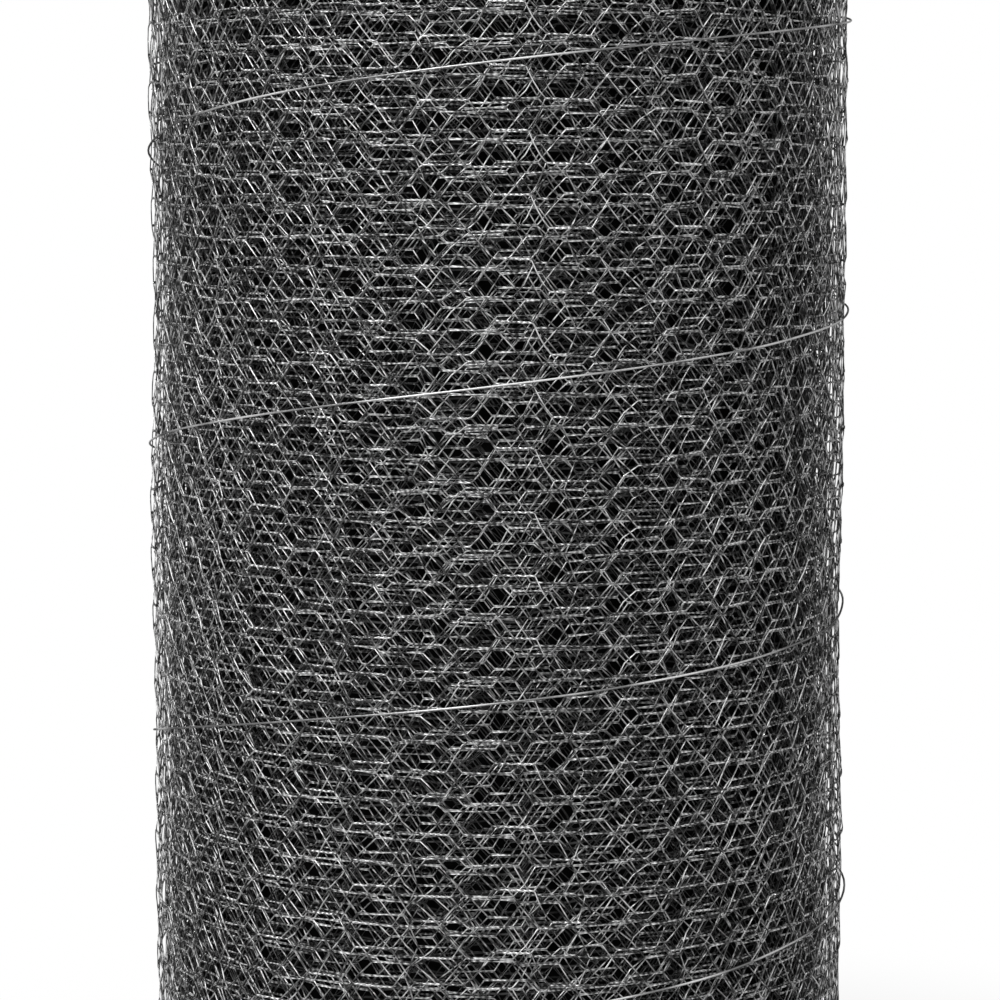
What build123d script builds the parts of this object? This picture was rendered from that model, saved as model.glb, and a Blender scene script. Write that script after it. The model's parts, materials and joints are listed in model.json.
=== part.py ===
# Roll of hexagonal wire netting, standing on its end and bound with one wire.
# Millimetres, +Z up along the roll's axis, origin at the middle of the foot.
import os

from build123d import *

# The netting, as it is woven
mesh_size = 25.4  # between the two twisted sides of a hexagon
mesh_rows = 24  # hexagons across the width
netting_width = mesh_rows * mesh_size

# The roll, as it is wound
roll_diameter = 306.0
bore_diameter = 64.0
turns = 86  # layers from the bore out to the surface
turns_per_groove = 8  # every eighth gap between turns is cut into the ends
groove_depth = 3.0

# The wire that binds the roll, wound round it from foot to top
binding_wire_diameter = 1.0
binding_wire_sides = 6  # the thin wire's section is drawn with few sides
binding_turns = 4
binding_pitch = 126.7
binding_clearance = 0.2  # between the wire and the netting that it lies on

# Worked out from the sizes above
roll_radius = roll_diameter / 2
bore_radius = bore_diameter / 2
turn_pitch = (roll_radius - bore_radius) / turns
groove_pitch = turns_per_groove * turn_pitch
groove_count = turns // turns_per_groove - 1
first_groove_radius = (roll_radius + bore_radius - (groove_count - 1) * groove_pitch) / 2
binding_height = binding_turns * binding_pitch
binding_start = (netting_width - binding_height) / 2
binding_radius = roll_radius + binding_clearance + binding_wire_diameter / 2


def end_outline(level, inward):
    """Points of one end from the bore outwards: flat bands of turns with a V groove between them.
    inward is 1 where the grooves go up into the roll and -1 where they go down into it."""
    points = [(bore_radius, level)]
    for number in range(groove_count):
        middle = first_groove_radius + number * groove_pitch
        points.append((middle - turn_pitch / 2, level))
        points.append((middle, level + inward * groove_depth))
        points.append((middle + turn_pitch / 2, level))
    points.append((roll_radius, level))
    return points


def netting_roll():
    """The wound netting as one turned solid with its bore, the edges of its turns showing on both ends."""
    foot = end_outline(0, 1)
    top = end_outline(netting_width, -1)
    outline = Polyline(*foot, *reversed(top), close=True)
    section = make_face(Plane.XZ * outline)
    return revolve(section, Axis.Z)


def binding_wire():
    """The binding wire: a thin wire on a right-hand helix whose two ends lie at the back of the roll."""
    path = Helix(pitch=binding_pitch, height=binding_height, radius=binding_radius)
    path = Pos(0, 0, binding_start) * Rot(0, 0, 90) * path
    start = Plane(origin=path @ 0, z_dir=path % 0)
    section = start * RegularPolygon(binding_wire_diameter / 2, binding_wire_sides)
    return sweep(section, path=path, is_frenet=True)


os.makedirs("parts", exist_ok=True)
export_step(netting_roll(), "parts/netting_roll.step")
export_step(binding_wire(), "parts/binding_wire.step")
print("turn pitch", round(turn_pitch, 3), "grooves on each end", groove_count)
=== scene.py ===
import json
import math

import bpy
import numpy as np
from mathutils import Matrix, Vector


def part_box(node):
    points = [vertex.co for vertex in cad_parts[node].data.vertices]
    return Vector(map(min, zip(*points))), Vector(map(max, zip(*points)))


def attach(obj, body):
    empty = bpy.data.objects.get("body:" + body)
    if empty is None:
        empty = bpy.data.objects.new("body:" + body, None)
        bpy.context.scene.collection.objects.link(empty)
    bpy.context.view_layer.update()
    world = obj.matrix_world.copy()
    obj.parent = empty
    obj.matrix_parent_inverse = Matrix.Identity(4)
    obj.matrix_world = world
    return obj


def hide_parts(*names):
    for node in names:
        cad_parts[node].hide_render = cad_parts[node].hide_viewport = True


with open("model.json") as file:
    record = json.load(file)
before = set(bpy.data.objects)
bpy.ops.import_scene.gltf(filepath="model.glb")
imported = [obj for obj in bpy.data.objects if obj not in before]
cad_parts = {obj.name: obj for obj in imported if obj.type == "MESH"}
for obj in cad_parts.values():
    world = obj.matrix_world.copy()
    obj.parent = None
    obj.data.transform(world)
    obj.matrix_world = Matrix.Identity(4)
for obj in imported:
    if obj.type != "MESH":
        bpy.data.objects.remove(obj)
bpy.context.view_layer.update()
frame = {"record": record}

# Roll of hexagonal wire netting, wire by wire: the sheet is woven flat, then wound on a spiral.
rollLow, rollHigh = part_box("netting_roll")
mounts = {mount["name"]: mount for mount in frame["record"]["mounts"]}
rollRadius = (rollHigh.x - rollLow.x) / 2
rollHeight = rollHigh.z - rollLow.z
boreRadius = mounts["spindle_bore"]["dims"]["r_mm"] / 1000
fullTurn = 2 * math.pi
mapMargin = 0.01  # kept free round the map of a piece's surface
tiny = 1e-12  # keeps a division by a length from failing
made = {}  # triangles of each finished piece


# Shader maths: a Signal is a node's output, and each operator on it adds one Math node.
class Signal:
    def __init__(self, finish, socket):
        self.finish = finish
        self.socket = socket

    # One Math node on two values, each a number or a Signal.
    def maths(self, operation, first, second):
        return self.finish.node("ShaderNodeMath", {"operation": operation}, {0: first, 1: second})

    def __add__(self, other):
        return self.maths("ADD", self, other)

    def __sub__(self, other):
        return self.maths("SUBTRACT", self, other)

    def __rsub__(self, other):
        return self.maths("SUBTRACT", other, self)

    def __mul__(self, other):
        return self.maths("MULTIPLY", self, other)

    def cosine(self):
        return self.maths("COSINE", self, 0.0)

    __radd__ = __add__
    __rmul__ = __mul__


# A Finish is one material, or the world, and its tree of nodes.
class Finish:
    changeShare = 0.03  # of the height, by which noise that comes again moves on
    middleValues = (0.36, 0.64)  # between which most of a noise lies

    def __init__(self, holder):
        holder.use_nodes = True
        self.holder = holder
        self.tree = holder.node_tree
        self.tree.nodes.clear()

    # Adds a node: settings first, then its sockets, each a number, a colour or a Signal. Gives one output.
    def node(self, kind, settings=None, sockets=None, output=0):
        added = self.tree.nodes.new(kind)
        for name, value in (settings or {}).items():
            if name == "stops":
                self.stops(added.color_ramp, value)
            else:
                setattr(added, name, value)
        for name, value in (sockets or {}).items():
            if isinstance(value, Signal):
                self.tree.links.new(value.socket, added.inputs[name])
            else:
                added.inputs[name].default_value = value
        return Signal(self, added.outputs[output]) if len(added.outputs) else None

    # A ramp's stops as (place, grey) pairs.
    def stops(self, ramp, pairs):
        while len(ramp.elements) < len(pairs):
            ramp.elements.new(1.0)
        for element, (place, grey) in zip(ramp.elements, pairs):
            element.position = place
            element.color = (grey, grey, grey, 1)

    # Noise of a given size in metres on the piece's own coordinates, its middle values spread from 0 to 1.
    # It can come again after a height, a little changed each time.
    def noise(self, size, detail=2.0, distortion=0.0, again=0.0):
        place = self.node("ShaderNodeTexCoord", output="Object")
        if again:
            x, y, z = [self.node("ShaderNodeSeparateXYZ", None, {0: place}, output=axis) for axis in "XYZ"]
            folded = z.maths("FLOORED_MODULO", z, again) + z * self.changeShare
            place = self.node("ShaderNodeCombineXYZ", None, {"X": x, "Y": y, "Z": folded})
        sockets = {"Vector": place, "Scale": 1 / size, "Detail": detail, "Distortion": distortion}
        plain = self.node("ShaderNodeTexNoise", None, sockets)
        low, high = self.middleValues
        return self.node("ShaderNodeMapRange", None, {"Value": plain, "From Min": low, "From Max": high})


# The netting as it is woven, in metres.
netting = {
    "columnPitch": 0.0267,  # from one column of twisted sides to the next
    "rows": 24,  # hexagons across the width
    "twistLength": 0.017,
    "halfTwists": 7,
    "edgeHalfTwists": 2,  # round the edge wire
    "slantGlintTwist": 0.2,  # of a half twist, set on the slanting wires and caps so that they take this much of the painted crossing glint
    "wireRadius": 0.0003,
    "edgeWireRadius": 0.0005,
    "sideJitter": 0.0011,  # how far a column of twisted sides strays along the sheet
    "heightJitter": 0.0002,  # across it
    "depthJitter": 0.0002,  # and out of it
    "tilt": 0.0005,  # of a twisted side, from its one end to the other
    "stretchShare": 0.06,  # of a twisted side's length
    "bow": 0.0008,  # of the slanting wires
    "bowDeepShare": 0.4,
    "singleShare": 0.35,  # of all this, from one hexagon of a column to the next
    "middleTone": 0.5,
    "tone": 0.27,  # how far a column's tone strays from the middle
    "innerPaintedShade": 1.85,  # painted shade: how much darker the deepest of the outer turns are
    "paintedShadeTurns": (5, 22),
    "outerFade": 0.7,  # how much duller the outermost turn is
    "outerTurns": 2.5,
    "unshadedEndRows": 6,  # half rows near an end that the painted shade leaves bright
    "seed": 11,
}

# The spiral that the sheet is wound on. It is tight near the outside and looser further in.
spiral = {
    "turns": 86,
    "outerPitch": 0.0008,
    "loosenFrom": 25,
    "loosenTo": 36,
    "stepsPerTurn": 64,
    "startAngle": math.radians(72.0),  # the sheet's outer end, at the back
}

# How the turns lie on each other: each slips along and across the one before it.
lie = {
    "turns": 26,  # only these outer turns are told apart
    "across": 0.0063,  # either way
    "spreadSteps": (0.618, 0.755),  # of a cell along and across, from turn to turn
    "togetherShare": 0.4,  # of the turns, whose rows fall nearly together
    "togetherSlack": 0.35,
    "frontFrom": 0.3,  # share of a turn where the front begins
    "frontMiddle": 0.55,
    "firstSlip": 0.009,
    "lean": 0.012,  # slip that grows with the height, either way
    "edgeDrift": 0.0022,  # one turn's edge stands this much higher than another's
    "seed": 5,
}

# Waves in the sheet, lumps in the roll and the dent under the binding wire, in metres.
waves = {
    "along": (0.0024, 0.0014, 0.0006),  # sizes of the three waves that shift wires along the sheet
    "alongLengths": (0.197, 0.083, 0.31),
    "alongClimb": 50.0,  # how fast these waves turn with the height
    "across": 0.0005,  # size of the wave that shifts wires across the sheet
    "acrossLengths": (0.173, 0.41),  # along the sheet and across it
    "acrossBend": 0.4,
    "acrossClimb": 9.0,
    "lump": 0.0005,
    "lumps": ((1.0, 3, 17, 0), (1.0, 7, -31, 1), (0.7, 13, 43, 2)),  # share, waves round, climb, start
    "dent": 0.0009,
    "dentWidth": 0.005,
    "dentTurns": 2.5,
}

# The binding wire: a helix that runs a little flatter across the front, its ends tucked in at the back.
binding = {
    "turns": 4,
    "pitch": 0.1267,
    "radius": 0.00045,
    "flatter": 0.0015,
    "lift": 0.0043,  # of the front over the back, either way from the even helix
    "startShare": 0.25,  # of a turn, at the back
    "wander": 0.0007,
    "wanderWaves": (2.3, 0.77),  # in a turn, one wave times the other
    "wanderStart": 1.0,
    "sink": 0.0005,
    "tuck": 0.004,
    "tuckTurn": 0.02,
    "stepsPerTurn": 120,
    "sides": 8,
}

wireRadius = netting["wireRadius"]
wireWidth = 2 * wireRadius
columnPitch = netting["columnPitch"]
cellLength = 2 * columnPitch
edgeReach = netting["edgeWireRadius"] + 2 * wireWidth  # the wire round it, and as much to spare
outerRadius = rollRadius - wireWidth
innerRadius = boreRadius + wireWidth
topRow = 2 * netting["rows"]  # half rows are counted from 0 at the foot to this at the top
rowPitch = (rollHeight - 2 * edgeReach - lie["edgeDrift"]) / topRow
bindingFoot = (rollHeight - binding["turns"] * binding["pitch"]) / 2


# Eases from 0 to 1: three times the square less twice the cube.
def eased(x):
    x = np.clip(x, 0, 1)
    return x * x * (3 - 2 * x)


# Running total over the spiral's table of turns, by the trapezium rule.
def runningTotal(values):
    steps = (values[1:] + values[:-1]) / 2 / spiral["stepsPerTurn"]
    return np.concatenate([[0.0], np.cumsum(steps)])


# The spiral as a table: pitch for each turn, radius by adding up the pitch, length by adding up the radius.
turnTable = np.linspace(0, spiral["turns"], spiral["turns"] * spiral["stepsPerTurn"] + 1)
looseness = eased((turnTable - spiral["loosenFrom"]) / (spiral["loosenTo"] - spiral["loosenFrom"]))
spareDepth = outerRadius - innerRadius - spiral["outerPitch"] * spiral["turns"]
loosePitch = spareDepth / runningTotal(looseness)[-1]
radiusTable = outerRadius - runningTotal(spiral["outerPitch"] + loosePitch * looseness)
lengthTable = fullTurn * runningTotal(radiusTable)


# Turn at a length along the sheet, read from the table.
def turnAt(s):
    return np.interp(s, lengthTable, turnTable)


# Length along the sheet at a turn, read from the table.
def lengthAt(turn):
    return np.interp(turn, turnTable, lengthTable)


# Radius at a turn, read from the table.
def radiusAt(turn):
    return np.interp(turn, turnTable, radiusTable)


# Each turn's slip along the roll and lift across it. At the middle of the front the turns' phases are
# spread evenly: the slip is what the spiral lacks of the phase, to the nearest of the equal phases.
turnDice = np.random.default_rng(lie["seed"])
turnNumber = np.arange(spiral["turns"] + 2)
spreadAlong, spreadAcross = [(turnDice.uniform() + turnNumber * step) % 1.0 for step in lie["spreadSteps"]]
phase = cellLength * spreadAlong
lifts = lie["across"] * (2 * spreadAcross - 1)
together = turnDice.uniform(0, 1, len(turnNumber)) < lie["togetherShare"]
lifts = lifts * np.where(together, lie["togetherSlack"], 1)
edgeDrifts = turnDice.uniform(0, lie["edgeDrift"], len(turnNumber))
leans = turnDice.uniform(-lie["lean"], lie["lean"], len(turnNumber))
lack = np.diff(lengthAt(turnNumber + lie["frontMiddle"]) - phase)
slipSteps = (lack - cellLength * np.round(lack / cellLength)) * (turnNumber[1:] < lie["turns"])
slips = lie["firstSlip"] + np.concatenate([[0.0], np.cumsum(slipSteps)])
sheetLength = lengthTable[-1] - slips[-1] - cellLength
columnCount = int(sheetLength / columnPitch)
print("sheet of", columnCount, "columns wound in", spiral["turns"], "turns")


# A value of each turn as the sheet winds on: it stays over the front, and changes to the next at the back.
def carried(values, turn):
    passed = np.maximum(turn - lie["frontFrom"], 0)
    number = np.minimum(passed.astype(int), len(values) - 2)
    return values[number] + (values[number + 1] - values[number]) * eased(2 * (passed - number) - 1)


# Height of the binding wire after a share of its turns: the pitch times the turns, and a wave in every turn
# that lifts the front and flattens it.
def bindingHeight(turn):
    wave = binding["flatter"] * np.sin(fullTurn * turn) - binding["lift"] * np.cos(fullTurn * turn)
    return bindingFoot + binding["pitch"] * turn + wave


# How far the netting is pressed in: a bell curve across the nearest pass of the binding wire.
def dentAt(around, z, turn):
    share = (around / fullTurn - binding["startShare"]) % 1.0
    half = binding["pitch"] / 2
    fromWire = (z - bindingHeight(share) + half) % binding["pitch"] - half
    depth = waves["dent"] * np.exp(-turn / waves["dentTurns"])
    return depth * np.exp(-((fromWire / waves["dentWidth"]) ** 2))


# 0 at both edges of the sheet and 1 at its middle: the root of a half sine.
def fromEdges(z):
    return np.sqrt(np.sin(math.pi * np.clip(z / rollHeight, 0, 1)))


# The roll's lumps, shared by all its turns: the sum of three sines round it and up it, none at the edges.
def lumpAt(around, z):
    total = 0
    for share, wavesRound, climb, start in waves["lumps"]:
        total = total + share * np.sin(wavesRound * around + climb * z + start)
    return waves["lump"] * fromEdges(z) * total


# Lays sheet points on the roll: s along the sheet, z across it, out away from it. The sheet waves a little,
# and each turn slips along and across the one before it.
def wound(s, z, out):
    turn = turnAt(s)
    short, long = waves["acrossLengths"]
    bend = waves["acrossBend"] * np.sin(fullTurn * z / long)
    waveAcross = waves["across"] * np.sin(fullTurn * (s / short + bend) + waves["acrossClimb"] * z)
    waveAlong = 0
    for size, length in zip(waves["along"], waves["alongLengths"]):
        waveAlong = waveAlong + size * np.sin(fullTurn * s / length + waves["alongClimb"] * length * z)
    leaning = carried(leans, turn) * (z - rollHeight / 2)
    turn = turnAt(s + carried(slips, turn) + leaning + waveAlong)
    around = spiral["startAngle"] + fullTurn * turn
    height = z + carried(edgeDrifts, turn) + fromEdges(z) * (carried(lifts, turn) + waveAcross)
    radius = radiusAt(turn) + out + lumpAt(around, height) - dentAt(around, height, turn)
    return np.stack([radius * np.cos(around), radius * np.sin(around), height], -1)


# Chance differences. A column's twisted sides are made in one stroke, so they are alike, and differ more
# from the next column's than from each other.
dice = np.random.default_rng(netting["seed"])
latticeShape = (columnCount + 2, topRow + 1)


# A chance value of the column plus a smaller one of the single hexagon.
def strays(size, shape):
    ofColumn = dice.normal(0, size, (shape[0], 1) + shape[2:])
    return ofColumn + dice.normal(0, size * netting["singleShare"], shape)


inside = np.ones(topRow + 1)
inside[[0, topRow]] = 0  # the edges stay straight
strayAlong = strays(netting["sideJitter"], latticeShape)
strayAcross = strays(netting["heightJitter"], latticeShape) * inside
strayDeep = strays(netting["depthJitter"], latticeShape) * inside
tilts = strays(netting["tilt"], latticeShape) * inside
stretches = 1 + strays(netting["stretchShare"], latticeShape)
bowsAcross = strays(netting["bow"], latticeShape + (2,))
bowsDeep = strays(netting["bow"] * netting["bowDeepShare"], latticeShape + (2,))
tonesWithShade = netting["middleTone"] + strays(netting["tone"], latticeShape + (2,))

# The turns are painted darker the deeper they lie, a painted shade, but not near the ends, and the
# outermost turn is darker too.
turnOfColumn = turnAt(np.arange(columnCount + 2) * columnPitch)
shadeFrom, shadeTo = netting["paintedShadeTurns"]
shadedDepth = eased((turnOfColumn - shadeFrom) / (shadeTo - shadeFrom)) * (turnOfColumn < lie["turns"])
rowFromEnd = np.minimum(np.arange(topRow + 1), topRow - np.arange(topRow + 1))
tonesWithShade -= netting["innerPaintedShade"] * (shadedDepth[:, None] * eased(rowFromEnd / netting["unshadedEndRows"]))[..., None]
tonesWithShade -= netting["outerFade"] * eased(1 - turnOfColumn / netting["outerTurns"])[:, None, None]


# The column nearest to where a turn begins: the length there over the pitch, rounded.
def columnAtTurn(turn):
    return min(columnCount, int(round(float(lengthAt(turn)) / columnPitch)))


# Vectors over their own lengths.
def unit(vectors):
    return vectors / np.maximum(np.linalg.norm(vectors, axis=-1, keepdims=True), tiny)


# Rings of points round a path: the first axis of a ring is the direction away from the roll's own axis,
# less its part along the wire, and the second is square to both. A ring of few sides is as long round as
# the circle that it stands for.
def ringPoints(path, along, radius, sides):
    radius = radius * math.pi / (sides * math.sin(math.pi / sides))
    axis = path * (1, 1, 0)
    first = unit(axis - along * (axis * along).sum(-1, keepdims=True))
    second = np.cross(along, first)
    angle = math.pi + fullTurn * (np.arange(sides) + 0.5) / sides
    ring = np.cos(angle)[:, None] * first[..., None, :] + np.sin(angle)[:, None] * second[..., None, :]
    return path[..., None, :] + radius * ring


# A mesh object from points and index arrays of faces, one array for each number of corners.
def putMesh(name, points, groups, tone=None, uvs=None, twist=None):
    mesh = bpy.data.meshes.new(name)
    corners = np.concatenate([group.ravel() for group in groups]).astype(np.int32)
    totals = np.concatenate([np.full(len(group), group.shape[1]) for group in groups])
    mesh.vertices.add(len(points))
    mesh.vertices.foreach_set("co", points.astype(np.float32).ravel())
    mesh.loops.add(len(corners))
    mesh.loops.foreach_set("vertex_index", corners)
    mesh.polygons.add(len(totals))
    mesh.polygons.foreach_set("loop_start", (np.cumsum(totals) - totals).astype(np.int32))
    mesh.polygons.foreach_set("use_smooth", np.ones(len(totals), bool))
    if uvs is not None:
        mesh.uv_layers.new(name="OFBake").uv.foreach_set("vector", uvs.astype(np.float32).ravel())
    if tone is not None:
        mesh.attributes.new("wireTone", "FLOAT", "POINT").data.foreach_set("value", tone.astype(np.float32))
    if twist is not None:
        mesh.attributes.new("twist", "FLOAT", "CORNER").data.foreach_set("value", twist.astype(np.float32))
    mesh.update(calc_edges=True)
    mesh.validate()
    piece = bpy.data.objects.new(name, mesh)
    bpy.context.scene.collection.objects.link(piece)
    made[name] = int((totals - 2).sum())
    print("made", name, made[name], "triangles")
    return piece


# Whether a wire turns back: at the sheet's edge, kind 0 at the foot and kind 1 at the top.
def turnsBack(row, kind):
    return ((kind == 0) & (row == 0)) | ((kind == 1) & (row == topRow))


# What follows a wire's twisted side: the slanting run leads to the next column, one half row down for
# kind 0 and up for kind 1, and a wire that turns back changes its kind.
def following(column, row, kind):
    nextKind = np.where(turnsBack(row, kind), 1 - kind, kind)
    return column + 1, row + np.where(nextKind == 1, 1, -1), nextKind


# A wire's place on its twisted side, at a share of the side's length: two wires circle the side's middle
# line by half twists, half a circle apart. On the sheet's edge the wire circles the edge wire instead.
def onTwist(column, row, kind, share):
    edge = turnsBack(row, kind)
    reach = np.where(edge, wireRadius + netting["edgeWireRadius"], wireRadius)
    turned = np.where(edge, netting["edgeHalfTwists"], netting["halfTwists"]) * share
    angle = math.pi * (kind + turned)
    half = netting["twistLength"] / 2 * stretches[column, row]
    s = (column + 0.5) * columnPitch + strayAlong[column, row] + (2 * share - 1) * half
    z = edgeReach + row * rowPitch + strayAcross[column, row] + tilts[column, row] * (share - 0.5)
    return s, z + reach * np.cos(angle), strayDeep[column, row] + reach * np.sin(angle)


# Every wire of a block of columns and half rows as one mesh of tubes. A cell is one twisted side of one
# wire and the slanting run after it, sampled at the same shares in every cell, and ends on the first ring
# of the cell that follows. Where the block ends, the tube gets one more ring and a cap.
def weave(name, columns, rows, detail):
    sides, twistSteps, slantSteps = detail
    column, row, kind = np.meshgrid(np.arange(*columns), rows, (0, 1), indexing="ij")
    real = (column + row) % 2 == 0
    real &= ~((kind == 1) & (row == 0)) & ~((kind == 0) & (row == topRow))
    column, row, kind = column[real], row[real], kind[real]
    cells = np.arange(len(column))

    # where each cell leads
    nextColumn, nextRow, nextKind = following(column, row, kind)
    place = np.full((columns[1] - columns[0] + 1, topRow + 2, 2), -1)
    place[column - columns[0], row, kind] = cells
    leadsTo = place[nextColumn - columns[0], nextRow, nextKind]
    comesFrom = np.full(len(cells), -1)
    comesFrom[leadsTo[leadsTo >= 0]] = cells[leadsTo >= 0]

    # the path on the flat sheet
    share = np.linspace(0, 1, twistSteps + 1)
    twist = onTwist(column[:, None], row[:, None], kind[:, None], share)
    nextStart = onTwist(nextColumn, nextRow, nextKind, 0.0)
    run = np.arange(1, slantSteps) / slantSteps
    arch = 4 * run * (1 - run)
    bows = (0, bowsAcross[column, row, kind][:, None], bowsDeep[column, row, kind][:, None])
    sheet = []
    for twisted, start, bow in zip(twist, nextStart, bows):
        slant = twisted[:, -1:] + (start[:, None] - twisted[:, -1:]) * run + bow * arch
        sheet.append(np.concatenate([twisted, slant], 1))

    # the path on the roll, and its direction at each ring
    path = wound(*sheet)
    pathEnd = wound(*nextStart)
    before = np.where((comesFrom >= 0)[:, None], path[comesFrom, -1], 2 * path[:, 0] - path[:, 1])
    steps = unit(np.diff(np.concatenate([before[:, None], path, pathEnd[:, None]], 1), axis=1))
    along = unit(steps[:, :-1] + steps[:, 1:])
    rings = path.shape[1]
    points = ringPoints(path, along, wireRadius, sides).reshape(-1, 3)
    loose = cells[leadsTo < 0]
    tails = ringPoints(pathEnd[loose], steps[loose, -1], wireRadius, sides).reshape(-1, 3)

    # faces: first corner of every ring, then of the ring after it
    ringStart = (cells[:, None] * rings + np.arange(rings)) * sides
    lastStart = np.where(leadsTo >= 0, leadsTo * rings * sides, 0)
    lastStart[loose] = len(points) + np.arange(len(loose)) * sides
    ringAfter = np.concatenate([ringStart[:, 1:], lastStart[:, None]], 1)
    side = np.arange(sides)
    nextSide = (side + 1) % sides
    lower, upper = ringStart[..., None], ringAfter[..., None]
    quads = np.stack([lower + side, lower + nextSide, upper + nextSide, upper + side], -1).reshape(-1, 4)
    startCaps = ringStart[comesFrom < 0, :1] + side[::-1]
    endCaps = lastStart[loose][:, None] + side

    # a flat map of the sheet for baked colours: each wire is a narrow strip along its own line, and the map
    # has room for the column that the last wires lead to
    lengthFrom, lengthTo = columns[0] * columnPitch, (columns[1] + 2) * columnPitch
    flatS = (np.concatenate([sheet[0], nextStart[0][:, None]], 1) - lengthFrom) / (lengthTo - lengthFrom)
    heights = np.concatenate([sheet[1], nextStart[1][:, None]], 1)
    flatZ = mapMargin + (1 - 2 * mapMargin) * heights / rollHeight
    strip = fullTurn * wireRadius / rollHeight
    stepZ = strip / sides
    fromMiddle = strip * (side / sides - 0.5)
    nearS, farS = flatS[:, :-1, None] + 0 * side, flatS[:, 1:, None] + 0 * side
    nearZ, farZ = flatZ[:, :-1, None] + fromMiddle, flatZ[:, 1:, None] + fromMiddle
    uvs = np.stack([nearS, nearZ, nearS, nearZ + stepZ, farS, farZ + stepZ, farS, farZ], -1).reshape(-1, 2)
    first = comesFrom < 0
    capUvs = np.concatenate([np.stack([flatS[first, 0], flatZ[first, 0]], -1).repeat(sides, 0),
                             np.stack([flatS[loose, -1], flatZ[loose, -1]], -1).repeat(sides, 0)])
    tone = tonesWithShade[column, row, kind]
    tone = np.concatenate([tone.repeat(rings * sides), tone[loose].repeat(sides)])

    # half twists passed at each face's corners, which set the painted glint and shade of the crossings and
    # the bump; the slanting runs and the caps have one shade
    passed = netting["halfTwists"] * share
    slantGlintRun = np.full(slantSteps, netting["slantGlintTwist"])
    nearTwist = np.concatenate([passed[:-1], slantGlintRun])
    farTwist = np.concatenate([passed[1:], slantGlintRun])
    twistAtCorners = np.stack([nearTwist, nearTwist, farTwist, farTwist], -1)[None, :, None, :]
    twistAtCorners = np.broadcast_to(twistAtCorners, (len(cells), rings, sides, 4)).ravel()
    caps = np.concatenate([startCaps, endCaps])
    twistAtCorners = np.concatenate([twistAtCorners, np.full(caps.size, netting["slantGlintTwist"])])
    uvs = np.concatenate([uvs, capUvs])
    return putMesh(name, np.concatenate([points, tails]), [quads, caps], tone, uvs, twistAtCorners)


# A round wire along a list of points, with both ends closed.
def wireAlong(name, path, radius, sides, tone):
    steps = unit(np.diff(path, axis=0))
    along = unit(np.concatenate([steps[:1], steps[:-1] + steps[1:], steps[-1:]]))
    points = ringPoints(path, along, radius, sides).reshape(-1, 3)
    count = len(path)
    start = np.arange(count - 1)[:, None] * sides
    side = np.arange(sides)
    nextSide = (side + 1) % sides
    quads = np.stack([start + side, start + nextSide, start + sides + nextSide, start + sides + side], -1)
    caps = np.stack([side[::-1], (count - 1) * sides + side])
    share = np.linspace(mapMargin, 1 - mapMargin, count)
    cornerS = np.stack([share[:-1], share[:-1], share[1:], share[1:]], -1)[:, None, :].repeat(sides, 1)
    cornerA = np.stack([side, side + 1, side + 1, side], -1)[None].repeat(count - 1, 0) / sides
    uvs = np.concatenate([np.stack([cornerS, cornerA], -1).reshape(-1, 2), np.full((2 * sides, 2), 0.5)])
    return putMesh(name, points, [quads.reshape(-1, 4), caps], tone.repeat(sides), uvs)


# Dull zinc: grey mottled at three sizes, the middle one partly painted glints and shade along the wires,
# each wire lighter or darker than its neighbours and darker deeper in the roll as painted shade, and a
# painted glint where one wire of a twisted side crosses over the other.
zinc = {
    "dark": 0.078,
    "light": 0.72,
    "stopShares": (0.31, 0.755),
    "fine": 0.0012,
    "fineDetail": 3.0,
    "middle": 0.005,
    "middleDetail": 1.0,
    "middleSwirl": 0.6,
    "again": 2 * rowPitch,  # the middle mottling comes again in every row, as the painted glints and shade that it partly is
    "broad": 0.09,
    "shares": {"fine": 0.12, "middle": 0.4, "broad": 0.05, "wire": 0.2, "beadGlintAndRelief": 0.26},
    "metal": 0.9,
    "specular": 0.25,
    "edgeTint": 0.1,  # how much the metal shines where it is seen at a slant
    "rough": 0.38,
    "roughRange": 0.12,
    "bump": 1.0,
    "bumpDepth": 0.0003,
    "fineBumpShare": 0.1,
}


# Base colour follows the sum of the noises, the wire's own tone with its painted depth shade, and the
# crossings' painted glint, each times its share. A crossing's glint is half of one less the cosine of the
# half twists passed, and it also raises the bump.
def zincFinish(name, look):
    finish = Finish(bpy.data.materials.new(name))
    shares = look["shares"]
    fine = finish.noise(look["fine"], look["fineDetail"])
    middle = finish.noise(look["middle"], look["middleDetail"], look["middleSwirl"], look["again"])
    broad = finish.noise(look["broad"])
    wire = finish.node("ShaderNodeAttribute", {"attribute_name": "wireTone"}, output="Fac")
    twist = finish.node("ShaderNodeAttribute", {"attribute_name": "twist"}, output="Fac")
    # painted glint at each crossing and painted shade between them, also the height of the bump
    beadGlintAndRelief = 0.5 - (twist * fullTurn).cosine() * 0.5
    tone = fine * shares["fine"] + middle * shares["middle"] + broad * shares["broad"]
    tone = tone + wire * shares["wire"] + beadGlintAndRelief * shares["beadGlintAndRelief"]
    stops = tuple(zip(look["stopShares"], (look["dark"], look["light"])))
    colour = finish.node("ShaderNodeValToRGB", {"stops": stops}, {"Fac": tone})
    rough = look["rough"] + look["roughRange"] * middle
    height = beadGlintAndRelief + fine * look["fineBumpShare"]
    relief = {"Strength": look["bump"], "Distance": look["bumpDepth"], "Height": height}
    bumped = finish.node("ShaderNodeBump", None, relief)
    surface = finish.node("ShaderNodeBsdfPrincipled", None, {
        "Base Color": colour, "Roughness": rough, "Metallic": look["metal"],
        "Specular IOR Level": look["specular"], "Specular Tint": (look["edgeTint"],) * 3 + (1,),
        "Normal": bumped})
    finish.node("ShaderNodeOutputMaterial", None, {"Surface": surface})
    return finish.holder


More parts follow.
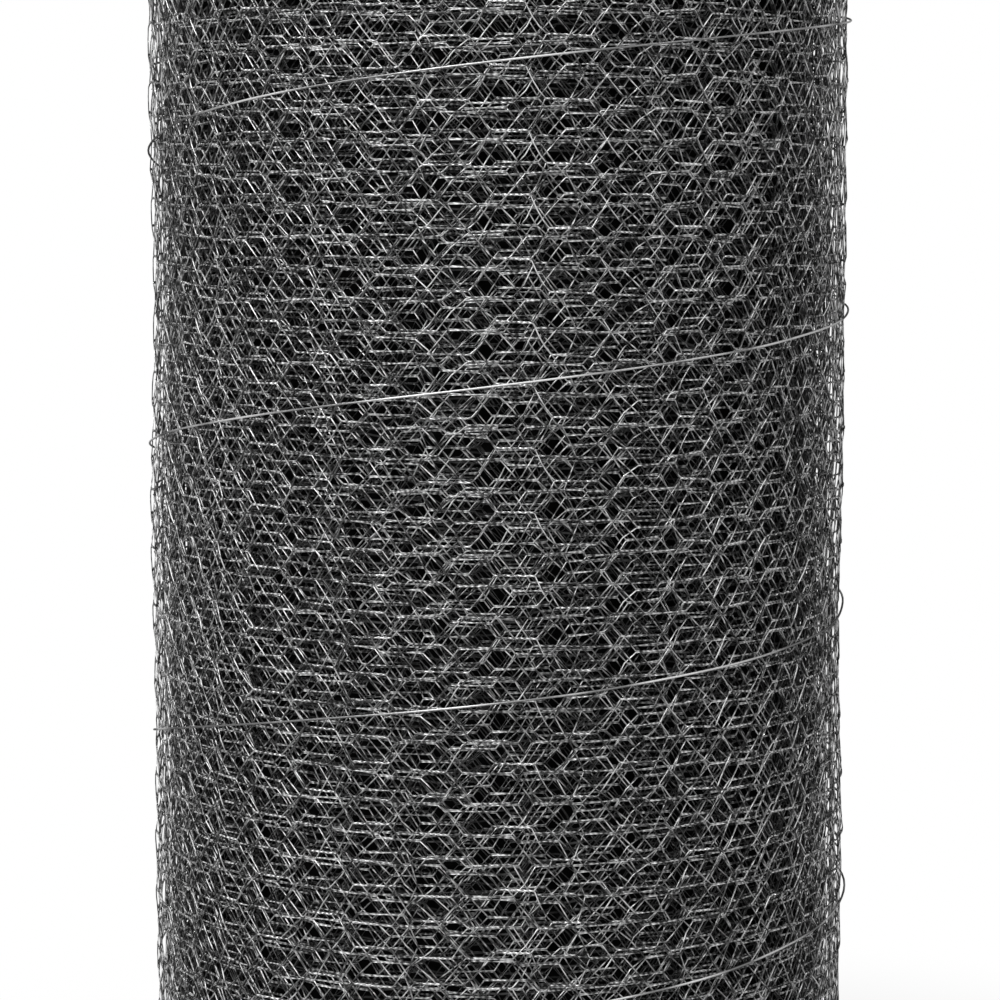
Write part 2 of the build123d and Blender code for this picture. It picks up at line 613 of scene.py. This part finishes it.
# The turns deep inside, where single wires no longer show: nearly black painted shade, with a few turns'
# nets drawn on, dimmer deeper in.
depth = {
    # painted shade between the nets
    "gap": 0.005,
    "wires": (0.14, 0.09, 0.05),  # grey of each net's wires, dimmer for a deeper net as painted shade
    "roundShares": (0.0, 0.21, 0.54),  # where each net lies, in cells round the roll
    "upShares": (0.1, 0.43, 0.77),  # and in cells up it
    "wireFrom": 0.0002,
    "wireTo": 0.0006,
    "stray": 0.003,
    "straySize": 0.03,
    "rough": 0.8,
    "bump": 0.6,
    "relief": 0.0005,
}


# A net as lines: over the nearest row a wire stands by a zigzag of the place round the roll. A line is full
# where height and zigzag agree, and fades within a wire's width.
def netLines(finish, around, up, look):
    fold = around.maths("PINGPONG", around, columnPitch)
    half = netting["twistLength"] / 2
    rise = {"Value": fold, "From Min": half, "From Max": columnPitch - half, "To Max": rowPitch}
    miss = up.maths("PINGPONG", up, rowPitch) - finish.node("ShaderNodeMapRange", None, rise)
    fade = {"Value": miss.maths("ABSOLUTE", miss, 0.0), "From Min": look["wireFrom"],
            "From Max": look["wireTo"], "To Min": 1.0, "To Max": 0.0}
    return finish.node("ShaderNodeMapRange", None, fade)


# Base colour, painted shade, is the brightest of the nets, each on its own place round the roll and up it,
# over the nearly black gap.
def deepShadeFinish(name, look, radius):
    finish = Finish(bpy.data.materials.new(name))
    place = finish.node("ShaderNodeTexCoord", output="Object")
    x, y, up = [finish.node("ShaderNodeSeparateXYZ", None, {0: place}, output=axis) for axis in "XYZ"]
    cellsRound = round(fullTurn * radius / cellLength)
    stray = (finish.noise(look["straySize"]) - 0.5) * look["stray"]
    around = y.maths("ARCTAN2", y, x) * (cellsRound * cellLength / fullTurn) + stray
    tone = look["gap"]
    for grey, roundShare, upShare in zip(look["wires"], look["roundShares"], look["upShares"]):
        netAround = around + roundShare * cellLength
        netUp = up + stray + upShare * 2 * rowPitch
        lines = netLines(finish, netAround, netUp, look)
        tone = lines.maths("MAXIMUM", lines * grey, tone)
    relief = {"Strength": look["bump"], "Distance": look["relief"], "Height": tone}
    bumped = finish.node("ShaderNodeBump", None, relief)
    surface = finish.node("ShaderNodeBsdfPrincipled", None, {
        "Base Color": tone, "Roughness": look["rough"], "Specular IOR Level": 0.0, "Normal": bumped})
    finish.node("ShaderNodeOutputMaterial", None, {"Surface": surface})
    return finish.holder


# Dresses a piece, sets it on the roll's body and hides the CAD node it stands for.
def fit(piece, material, node):
    piece.data.materials.append(material)
    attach(piece, "root")
    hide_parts(node)


netWire = zincFinish("netting_zinc", zinc)

# Turns of netting from the outside in: first turn, turn after the last, and the detail in sides, steps of a
# twisted side and steps of a slanting run.
layers = {
    "netting_turn_1": (0, 1, (4, 7, 3)),
    "netting_turn_2": (1, 2, (3, 7, 2)),
    "netting_turns_3_5": (2, 5, (3, 2, 2)),
    "netting_turns_6_8": (5, 8, (3, 1, 1)),
    "netting_turns_9_15": (8, 15, (3, 1, 1)),
    "netting_turns_16_24": (15, 24, (3, 1, 1)),
    "netting_bore_turns": (82, 86, (3, 2, 1)),
}
meshRows = np.arange(1, topRow)
for name, (turnFrom, turnTo, detail) in layers.items():
    piece = weave(name, (columnAtTurn(turnFrom), columnAtTurn(turnTo)), meshRows, detail)
    fit(piece, netWire, "netting_roll")

# The ends of the turns between them: only the hexagons nearest to each end show.
ends = {
    "fromTurn": 24,
    "toTurn": 82,
    "halfRows": 1,
    "detail": (3, 1, 1),
    "tieDetail": (3, 4, 1),
    "edgeStep": 0.012,
    "edgeSides": 3,
    "toneLength": 0.25,  # of edge wire, after which its tone has changed
}
lowRows = np.arange(1, 1 + ends["halfRows"])
for name, rows in (("netting_foot_turns", lowRows), ("netting_top_turns", topRow - lowRows[::-1])):
    columns = (columnAtTurn(ends["fromTurn"]), columnAtTurn(ends["toTurn"]))
    fit(weave(name, columns, rows, ends["detail"]), netWire, "netting_roll")

# The edges of the sheet: one straight wire on each, and the mesh wires that turn back round it.
edgeZinc = dict(zinc, stopShares=(0.1, 0.6), middle=0.03, again=0)
edgeZinc["shares"] = {"fine": 0.1, "middle": 0.12, "broad": 0.05, "wire": 0.3, "beadGlintAndRelief": 0.0}
edgeWire = zincFinish("edge_zinc", edgeZinc)
for name, row in (("netting_foot_edge", 0), ("netting_top_edge", topRow)):
    ties = weave(name + "_ties", (0, columnCount), np.array([row]), ends["tieDetail"])
    fit(ties, netWire, "netting_roll")
    length = np.arange(0, columnCount * columnPitch, ends["edgeStep"])
    path = wound(length, edgeReach + row * rowPitch + 0 * length, 0 * length)
    knots = np.arange(0, length[-1] + ends["toneLength"], ends["toneLength"])
    edgeTone = np.interp(length, knots, dice.uniform(0, 1, len(knots)))
    edge = wireAlong(name + "_wire", path, netting["edgeWireRadius"], ends["edgeSides"], edgeTone)
    fit(edge, edgeWire, "netting_roll")

# The turns in between, as one ring-shaped body.
core = {"fromTurn": 24.4, "toTurn": 81.5, "fromEnd": 0.02, "around": 96, "across": 8}


# The ring's four-sided section, cut into even steps, is carried round the axis.
def turnedRing(name, look):
    outer, inner = radiusAt(look["fromTurn"]), radiusAt(look["toTurn"])
    low, high = look["fromEnd"], rollHeight - look["fromEnd"]
    share = np.arange(look["across"]) / look["across"]
    corners = np.array([(inner, low), (outer, low), (outer, high), (inner, high)])
    after = np.roll(corners, -1, axis=0)
    section = (corners[:, None] + (after - corners)[:, None] * share[:, None]).reshape(-1, 2)
    angle = fullTurn * np.arange(look["around"])[:, None] / look["around"]
    radius, height = section.T
    points = np.stack([np.cos(angle) * radius, np.sin(angle) * radius, height + 0 * angle], -1)
    count = len(section)
    start = np.arange(look["around"])[:, None] * count
    onward = np.roll(start, -1, axis=0)
    spot = np.arange(count)
    nextSpot = (spot + 1) % count
    quads = np.stack([start + spot, onward + spot, onward + nextSpot, start + nextSpot], -1)
    piece = putMesh(name, points.reshape(-1, 3), [quads.reshape(-1, 4)])
    piece.data.polygons.foreach_set("use_smooth", np.zeros(len(piece.data.polygons), bool))
    return piece


paintedDeepShade = deepShadeFinish("netting_deep_shade", depth, radiusAt(core["fromTurn"]))
fit(turnedRing("netting_inner_turns", core), paintedDeepShade, "netting_roll")


# The binding wire's line: its helix, a little wandering, and both ends bent in.
def bindingPath(look):
    turn = np.linspace(0, look["turns"], look["stepsPerTurn"] * look["turns"] + 1)
    quick, slow = [fullTurn * turn * times for times in look["wanderWaves"]]
    wander = look["wander"] * np.sin(quick) * np.sin(slow + look["wanderStart"])
    fromEnd = np.minimum(turn, look["turns"] - turn)
    tucked = np.clip(1 - fromEnd / look["tuckTurn"], 0, 1) ** 2
    around = fullTurn * look["startShare"] + fullTurn * turn
    height = bindingHeight(turn) + wander
    radius = rollRadius + look["radius"] - look["sink"] + lumpAt(around, height) - look["tuck"] * tucked
    return np.stack([radius * np.cos(around), radius * np.sin(around), height], -1)


bindingZinc = dict(zinc, dark=0.16, light=0.52, stopShares=(0.3, 0.65), middle=0.05, again=0)
bindingZinc["shares"] = {"fine": 0.1, "middle": 0.6, "broad": 0.3, "wire": 0.0, "beadGlintAndRelief": 0.0}
path = bindingPath(binding)
bindingTone = np.full(len(path), netting["middleTone"])
bindingPiece = wireAlong("binding_wire_round", path, binding["radius"], binding["sides"], bindingTone)
fit(bindingPiece, zincFinish("binding_zinc", bindingZinc), "binding_wire")

# The studio: pale floor, white surroundings and three high soft lights: left in front, left and right.
studio = {
    "floorSide": 60.0,
    "floorGrey": 0.86,
    "floorWhiteShare": 0.7,  # near the roll, where its shadow lies
    "whiteFrom": 0.18,
    "whiteTo": 0.55,
    "ambient": 0.15,
    "key": {"place": (-0.9, -1.44, 2.35), "size": 0.4, "power": 84.0},
    "side": {"place": (-1.64, -0.44, 2.35), "size": 0.4, "power": 22.0},
    "fill": {"place": (1.47, -0.85, 2.35), "size": 0.4, "power": 12.0},
    "aim": (0, 0, 0.32),
}


# 1 for a ray that looks straight at the surroundings, also in a mirror or through glass.
def seesWhite(finish):
    rays = ("Is Camera Ray", "Is Glossy Ray", "Is Transmission Ray")
    camera, glossy, through = [finish.node("ShaderNodeLightPath", output=ray) for ray in rays]
    return camera.maths("MAXIMUM", camera.maths("MAXIMUM", camera, glossy), through)


# A flat square. What is seen of it is white, less the shadow near the roll.
def addFloor(look):
    half = look["floorSide"] / 2
    corners = np.array([(-half, -half, 0), (half, -half, 0), (half, half, 0), (-half, half, 0)])
    mesh = bpy.data.meshes.new("floor")
    mesh.from_pydata(corners.tolist(), [], [(0, 1, 2, 3)])
    floor = bpy.data.objects.new("floor", mesh)
    bpy.context.scene.collection.objects.link(floor)
    finish = Finish(bpy.data.materials.new("floor_pale"))
    grey = look["floorGrey"]
    lit = finish.node("ShaderNodeBsdfDiffuse", None, {"Color": (grey, grey, grey, 1)})
    white = finish.node("ShaderNodeEmission", None, {"Color": (1, 1, 1, 1), "Strength": 1.0})
    place = finish.node("ShaderNodeTexCoord", output="Object")
    away = finish.node("ShaderNodeVectorMath", {"operation": "LENGTH"}, {0: place}, output="Value")
    fade = {"Value": away, "From Min": look["whiteFrom"], "From Max": look["whiteTo"],
            "To Min": look["floorWhiteShare"], "To Max": 1.0}
    share = finish.node("ShaderNodeMapRange", {"interpolation_type": "SMOOTHSTEP"}, fade)
    mixed = finish.node("ShaderNodeMixShader", None, {"Fac": seesWhite(finish) * share, 1: lit, 2: white})
    finish.node("ShaderNodeOutputMaterial", None, {"Surface": mixed})
    mesh.materials.append(finish.holder)


# A square lamp at its place, turned to shine at the aim.
def addLight(name, look, aim):
    lamp = bpy.data.lights.new(name, "AREA")
    lamp.energy = look["power"]
    lamp.size = look["size"]
    light = bpy.data.objects.new(name, lamp)
    light.location = look["place"]
    light.rotation_euler = (Vector(aim) - light.location).to_track_quat("-Z", "Y").to_euler()
    bpy.context.scene.collection.objects.link(light)


# White where it is seen, and a weak even light elsewhere.
def addWorld(look):
    world = bpy.data.worlds.new("studio_white")
    bpy.context.scene.world = world
    finish = Finish(world)
    strength = seesWhite(finish) * (1 - look["ambient"]) + look["ambient"]
    surface = finish.node("ShaderNodeBackground", None, {"Color": (1, 1, 1, 1), "Strength": strength})
    finish.node("ShaderNodeOutputWorld", None, {"Surface": surface})


# The camera stands where the photograph was taken from.
view = {"place": (0.0005, -1.4, 0.4361), "down": 5.0, "lens": 114.2, "sensor": 36.0}


# A camera that looks along the y axis, tipped down by its angle.
def addCamera(look):
    camera = bpy.data.objects.new("camera", bpy.data.cameras.new("camera"))
    camera.data.lens = look["lens"]
    camera.data.sensor_width = look["sensor"]
    camera.location = look["place"]
    camera.rotation_euler = (math.radians(90 - look["down"]), 0, 0)
    bpy.context.scene.collection.objects.link(camera)
    bpy.context.scene.camera = camera


addFloor(studio)
addWorld(studio)
for name in ("key", "side", "fill"):
    addLight(name, studio[name], studio["aim"])
addCamera(view)
bpy.context.scene.view_settings.view_transform = "Standard"
print("pieces", len(made), "triangles in all", sum(made.values()))
